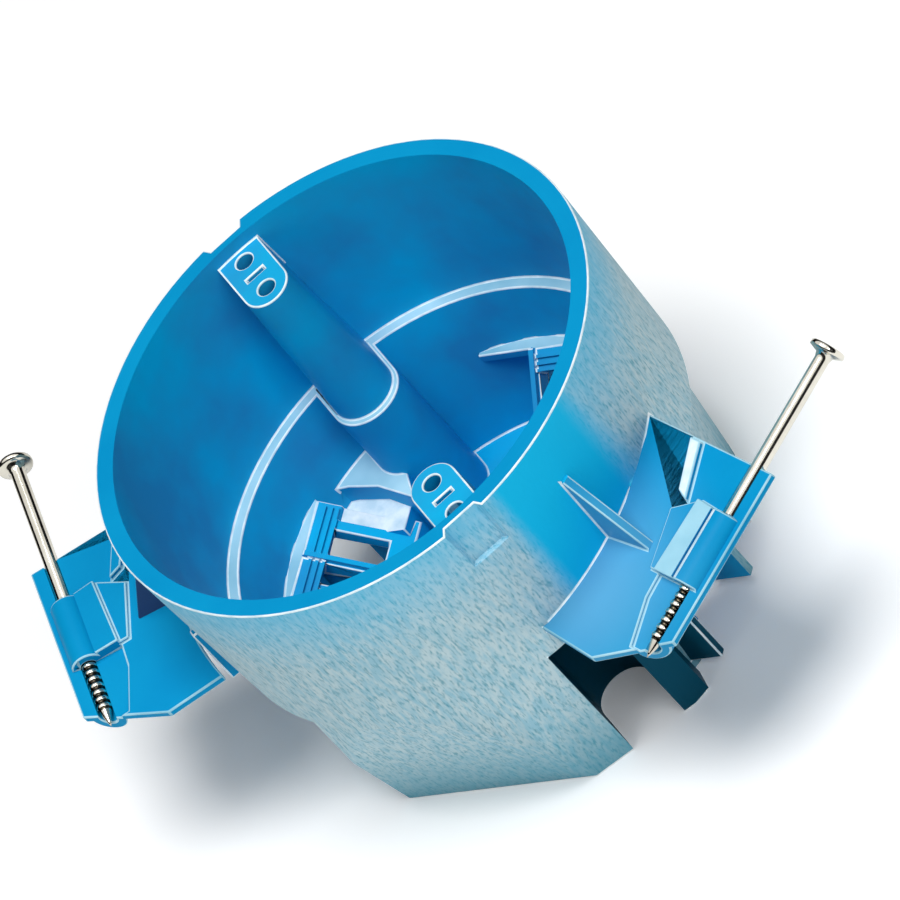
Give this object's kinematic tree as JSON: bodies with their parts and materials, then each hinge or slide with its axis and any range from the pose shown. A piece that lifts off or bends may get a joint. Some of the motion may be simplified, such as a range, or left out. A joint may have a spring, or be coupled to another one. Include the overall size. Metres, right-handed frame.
{
  "type": "round nail-on ceiling box",
  "caption": "Round moulded ceiling electrical box with inside screw ears, ribbed cable entries and two side brackets that hold captive nails.",
  "frame": {"origin": "on the axis of the round box, in the plane of its closed end", "axes": "+Z along the box axis, from the closed end to the open rim; +X to the right bracket; -Y towards the joist that the two brackets and the nail tips point to"},
  "size_m": [0.1826, 0.1024, 0.072],
  "materials": {
    "moulding": "satin, spark-eroded outside",
    "nail_steel": "bright drawn wire"
  },
  "bodies": {
    "root": {"box": "moulding", "nail_left": "nail_steel", "nail_right": "nail_steel"}
  },
  "joints": []
}
